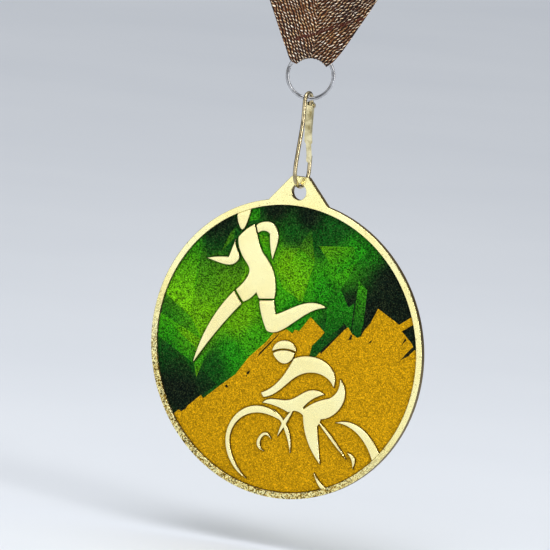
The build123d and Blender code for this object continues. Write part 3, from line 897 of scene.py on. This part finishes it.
# ---- ribbon -------------------------------------------------------------------------------
RIBBON_W = 11.0
YARNS = 16
LEAN_LEFT, LEAN_RIGHT = math.radians(20), math.radians(40)      # of the yarns above the ring
SLANT_U, SLANT_Z = 8.6, 17.5             # the slanted yarns turn about this point of each leg
SLANT_TOP, SLANT_FADE = 19.5, 4          # above the ring's top they run straight again
COLUMNS = YARNS * 6 + 1
ACROSS = np.linspace(0, 1, COLUMNS)
LAYER = 0.9
TAIL_UP = 9.4            # the turned-up ends behind the legs reach this far above the ring


def ring_inside(u):
    """Height of the ring's inner edge at u across it, from the middle of its top wire."""
    inner = RING_R - WIRE_W / 2
    return -RING_R + np.sqrt(np.maximum(inner ** 2 - u ** 2, 1.0))


def leg_rows(side):
    """Rows of points of one leg, from its turned-up end round the ring to the folds."""
    outer = {-1: 0.427, 1: 0.56}[side]
    lift = 0.0 if side < 0 else 0.12

    def edge(z):
        return 4.9 + (z + 2.5) * outer

    def station(u_out, u_in, y, z, bow=0.0, yaw=1.0):
        u = side * (u_out + (u_in - u_out) * ACROSS)
        z_row = np.full(COLUMNS, float(z)) if np.isscalar(z) else z
        row = np.column_stack([u, np.full(COLUMNS, float(y)) + bow * (2 * ACROSS - 1) ** 2, z_row])
        a = YAW * yaw
        x = row[:, 0] * math.cos(a) - row[:, 1] * math.sin(a)
        v = row[:, 0] * math.sin(a) + row[:, 1] * math.cos(a)
        return np.column_stack([x, v, row[:, 2] + RING_TOP])

    under_u = side * (3.7 + (0.03 - 3.7) * ACROSS)
    under = ring_inside(under_u) - 0.5
    inner = -0.3
    rows = [
        station(edge(TAIL_UP) - 1.6, 0.6, 1.55, TAIL_UP),
        station(edge(3.5) - 1.2, 0.4, 1.45, 3.5),
        station(5.6, 0.2, 1.3, 0.8),
        station(4.3, 0.03, 1.2, under * 0.55 + 0.1),
        station(3.7, 0.03, 0.55, under - 0.08),
        station(3.7, 0.03, -0.55, under - 0.08),
        station(4.9, -0.05, -1.2, -0.85 - (1.1 - lift * 3) * (1 - ACROSS) ** 2),
        station(edge(0.6) - 0.1, -0.15, -1.32, 0.6),
        station(edge(3.0), inner, -1.3 + lift, 3.0),
        station(edge(7.5), inner - 0.2, -1.25 + lift, 7.5),
        station(edge(12.0), inner + (0.2 if side < 0 else -1.2), -1.2 + lift, 12.0),
    ]
    centres = {
        -1: [(-7.4, -1.5, 17.5, -17), (-9.0, -2.1, 23.5, -3), (-7.2, -3.1, 30.0, 16), (-2.9, -3.9, 36.0, 15)],
        1: [(9.4, -0.3, 17.5, 24), (10.6, -0.2, 23.5, 4), (7.9, -0.9, 30.0, -24), (2.9, -2.4, 36.0, -18)],
    }[side]
    yaws = (0.85, 0.6, 0.3, 0.08)
    for (middle, y, z, lean), yaw in zip(centres, yaws):
        lean = math.radians(lean)
        reach = side * (1 - 2 * ACROSS) * RIBBON_W / 2
        row = np.column_stack([
            middle + reach * math.cos(lean), np.full(COLUMNS, y), z - reach * math.sin(lean),
        ])
        a = YAW * yaw
        x = row[:, 0] * math.cos(a) - row[:, 1] * math.sin(a)
        v = row[:, 0] * math.sin(a) + row[:, 1] * math.cos(a)
        rows.append(np.column_stack([x, v, row[:, 2] + RING_TOP]))
    return rows


def flat_row(x_side, y, z):
    """A row lying along X, as in the folds."""
    x = x_side * (1 - 2 * ACROSS) * RIBBON_W / 2
    return np.column_stack([x, np.full(COLUMNS, y), np.full(COLUMNS, z)])


def layer_y(k):
    return -4.5 * LAYER + LAYER * k


def hank_rows(order, first_up):
    """Centre line rows of one tape through the folds, layer by layer."""
    points = []
    going_up = first_up
    for i, k in enumerate(order):
        y = layer_y(k)
        low, high = HANK_BOTTOM + 1.9, HANK_TOP - 1.9
        zs = np.linspace(low, high, 24) if going_up else np.linspace(high, low, 24)
        for z in zs:
            pinch = 1 - 0.03 * math.exp(-((z - (HANK_BOTTOM + HANK_TOP) / 2) / 9) ** 2)
            points.append((y * pinch + 0.05 * math.sin(z * 0.31 + k * 1.7), z))
        if i + 1 < len(order):
            y2 = layer_y(order[i + 1])
            centre_y, radius = (y + y2) / 2, (y2 - y) / 2
            end = high if going_up else low
            sign = 1 if going_up else -1
            reach = 0.45 + 0.42 * abs(radius) if abs(radius) < 1 else 1.45
            for a in np.linspace(0, math.pi, 13)[1:-1]:
                points.append((centre_y - radius * math.cos(a), end + sign * reach * math.sin(a)))
        going_up = not going_up
    return points


def catmull(rows, spacing):
    """Smooth rows through the given ones, about spacing apart along the middle."""
    rows = np.array(rows)
    padded = np.concatenate([[2 * rows[0] - rows[1]], rows, [2 * rows[-1] - rows[-2]]])
    middle = padded[:, COLUMNS // 2]
    knots = np.concatenate([[0], np.cumsum(np.sqrt(np.linalg.norm(np.diff(middle, axis=0), axis=1)))])
    out = []
    for i in range(1, len(padded) - 2):
        p0, p1, p2, p3 = padded[i - 1:i + 3]
        t0, t1, t2, t3 = knots[i - 1:i + 3]
        n = max(1, int(np.linalg.norm(middle[i + 1] - middle[i]) / spacing(middle[i])))
        for t in t1 + (t2 - t1) * np.arange(n) / n:
            a1 = (t1 - t) / (t1 - t0) * p0 + (t - t0) / (t1 - t0) * p1
            a2 = (t2 - t) / (t2 - t1) * p1 + (t - t1) / (t2 - t1) * p2
            a3 = (t3 - t) / (t3 - t2) * p2 + (t - t2) / (t3 - t2) * p3
            b1 = (t2 - t) / (t2 - t0) * a1 + (t - t0) / (t2 - t0) * a2
            b2 = (t3 - t) / (t3 - t1) * a2 + (t - t1) / (t3 - t1) * a3
            out.append((t2 - t) / (t2 - t1) * b1 + (t - t1) / (t2 - t1) * b2)
    out.append(rows[-1])
    return np.array(out)


def seam_height(u):
    """Height of the stitched seam above the ring's top wire."""
    return 4.7 + 0.40 * u


def ribbon():
    left, right = leg_rows(-1), leg_rows(1)
    up = [flat_row(-1, y, z) for y, z in hank_rows([0, 3, 4, 7, 8], True)]
    loop = [
        (layer_y(8) + 0.1, HANK_TOP - 0.6), (2.2, HANK_TOP + 0.75), (-0.8, HANK_TOP + 1.3),
        (-3.2, HANK_TOP + 3.2), (-4.0, HANK_TOP + 6.4), (-3.5, -3.0), (-1.9, -0.4), (0.0, 0.42),
        (1.9, -0.4), (3.6, -3.0), (4.1, HANK_TOP + 6.0), (4.3, HANK_TOP + 2.4),
    ]
    over = [flat_row(-1, y, z) for y, z in loop]
    down = [flat_row(-1, y, z) for y, z in hank_rows([1, 2, 5, 6, 9], True)[::-1]]
    rows = left + up + over + down + right[::-1]

    def spacing(point):
        near = point[2] < RING_TOP + 20
        return 0.24 if near else 1.1

    rows = catmull(rows, spacing)
    middle = rows[:, COLUMNS // 2]
    along = np.concatenate([[0], np.cumsum(np.linalg.norm(np.diff(middle, axis=0), axis=1))])
    tangent = np.gradient(rows, axis=0)
    across = np.gradient(rows, axis=1)
    normal = np.cross(tangent, across)
    normal /= np.maximum(np.linalg.norm(normal, axis=2)[..., None], 1e-9)
    cos_yaw, sin_yaw = math.cos(YAW), math.sin(YAW)
    u = rows[..., 0] * cos_yaw + rows[..., 1] * sin_yaw
    z = rows[..., 2] - RING_TOP
    lean = np.where(middle[:, 0] < 0, -LEAN_LEFT, LEAN_RIGHT)[:, None]
    pitch = RIBBON_W / YARNS
    slanted = 40 + (u * np.cos(lean) - (z - SLANT_Z) * np.sin(lean) - SLANT_U * np.sign(lean)) / pitch
    plain = np.broadcast_to(40 + np.sign(lean) * (0.5 - ACROSS) * YARNS, u.shape)
    near = np.clip((SLANT_TOP - z) / SLANT_FADE, 0, 1)
    yarn = plain + (slanted - plain) * near
    crown = np.abs(np.sin(math.pi * yarn)) ** 0.75
    offset = (np.sin(np.floor(yarn) * 91.7) * 437.5) % 1
    fine = np.clip((RING_TOP + 19 - middle[:, 2]) / 3, 0, 1)[:, None]
    twist = np.sin(2 * math.pi * (along[:, None] / TWIST + offset + 0.85 * (yarn % 1 - 0.5)))
    half = 0.15 + crown * (0.17 + 0.07 * twist * fine)
    squeeze = np.clip(np.linalg.norm(rows[:, 0] - rows[:, -1], axis=1) / RIBBON_W, 0.5, 1)[:, None]
    half = half * (0.55 + 0.45 * squeeze)
    front = rows + normal * half[..., None]
    rear = rows - normal * half[..., None]
    n, m = len(rows), COLUMNS
    loop_points = np.concatenate([front, rear[:, ::-1]], axis=1).reshape(-1, 3)
    ring = 2 * m
    i = np.arange(n - 1)[:, None] * ring
    j = np.arange(ring)[None, :]
    quads = np.stack([i + j, i + (j + 1) % ring, i + ring + (j + 1) % ring, i + ring + j], -1)
    faces = quads.reshape(-1, 4).tolist()
    for start, flip in ((0, False), ((n - 1) * ring, True)):
        for k in range(m - 1):
            quad = (start + k, start + ring - 1 - k, start + ring - 2 - k, start + k + 1)
            faces.append(quad if flip else quad[::-1])
    made = make_object("ribbon_tape", loop_points, faces, TAPE)
    outward(made)
    made.data.shade_smooth()
    yarn_all = np.concatenate([yarn, yarn[:, ::-1]], axis=1)
    local = loop_points.reshape(n, ring, 3)
    u = local[..., 0] * cos_yaw + local[..., 1] * sin_yaw
    depth = -local[..., 0] * sin_yaw + local[..., 1] * cos_yaw
    gap = np.abs(local[..., 2] - RING_TOP - seam_height(u))
    seam = np.clip(1.3 - gap / 0.42, 0, 1) * (u > -4.8) * (depth < 0) * (local[..., 2] < RING_TOP + 12)
    weave = np.stack([
        yarn_all, np.broadcast_to(along[:, None], (n, ring)), seam,
    ], -1)
    made.data.attributes.new("weave", "FLOAT_VECTOR", "POINT").data.foreach_set("vector", weave.ravel())
    print("ribbon length", round(float(along[-1]), 1), "rows", n, "vertices", n * ring)
    return made, float(along[-1])


tape, tape_length = ribbon()
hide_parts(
    "ribbon_hang_loop", "ribbon_hank", "ribbon_left_leg", "ribbon_right_leg", "ribbon_ring_bight",
)
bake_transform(tape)


# ---- stitches -------------------------------------------------------------------------------
SEAM_FROM, SEAM_TO = -4.3, 8.4


def stitches():
    """One row of lockstitch through both legs and their turned-up ends."""
    vertices, faces = [], []
    section = np.array([(math.cos(a), math.sin(a)) for a in np.linspace(0, 2 * math.pi, 9)[:-1]])
    u = SEAM_FROM
    while u < SEAM_TO:
        length = rng.uniform(0.45, 1.1)
        t = np.linspace(0, 1, 9)
        us = u + t * length
        rise = seam_height(us)
        arch = np.sin(t * math.pi)
        depth = -1.52 - 0.22 * arch
        path = np.column_stack([us, depth, rise + RING_TOP])
        thick = 0.06 + 0.06 * arch
        side = np.tile([0.0, 1.0, 0.0], (9, 1))
        upward = np.tile([-0.37, 0.0, 0.93], (9, 1))
        base = len(vertices)
        ring_points = (
            path[:, None] + (side[:, None] * section[None, :, 0, None]
            + upward[:, None] * section[None, :, 1, None]) * thick[:, None, None]
        ).reshape(-1, 3)
        vertices += ring_points.tolist()
        for i in range(8):
            for j in range(8):
                faces.append((
                    base + i * 8 + j, base + i * 8 + (j + 1) % 8,
                    base + (i + 1) * 8 + (j + 1) % 8, base + (i + 1) * 8 + j,
                ))
        faces.append(tuple(base + j for j in range(8))[::-1])
        faces.append(tuple(base + 64 + j for j in range(8)))
        u += length + rng.uniform(0.15, 0.8)
    spin = np.array(Matrix.Rotation(YAW, 3, "Z"))
    made = make_object("seam_stitches", np.array(vertices) @ spin.T, faces, THREAD)
    outward(made)
    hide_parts("ribbon_stitching")
    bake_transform(made)
    return made


thread = stitches()

# ---- paper band -----------------------------------------------------------------------------
rounded("hank_band", "ribbon", PAPER, 0.1, "paper_band_wrap", 2)

# ---- floor ----------------------------------------------------------------------------------
FLOOR_GAP = 0.012
floor_z = cad_low.z - FLOOR_GAP
bpy.ops.mesh.primitive_plane_add(size=80, location=(0, 0, floor_z))
floor = bpy.context.object
floor.name = "floor_plane"
floor.data.materials.append(FLOOR)
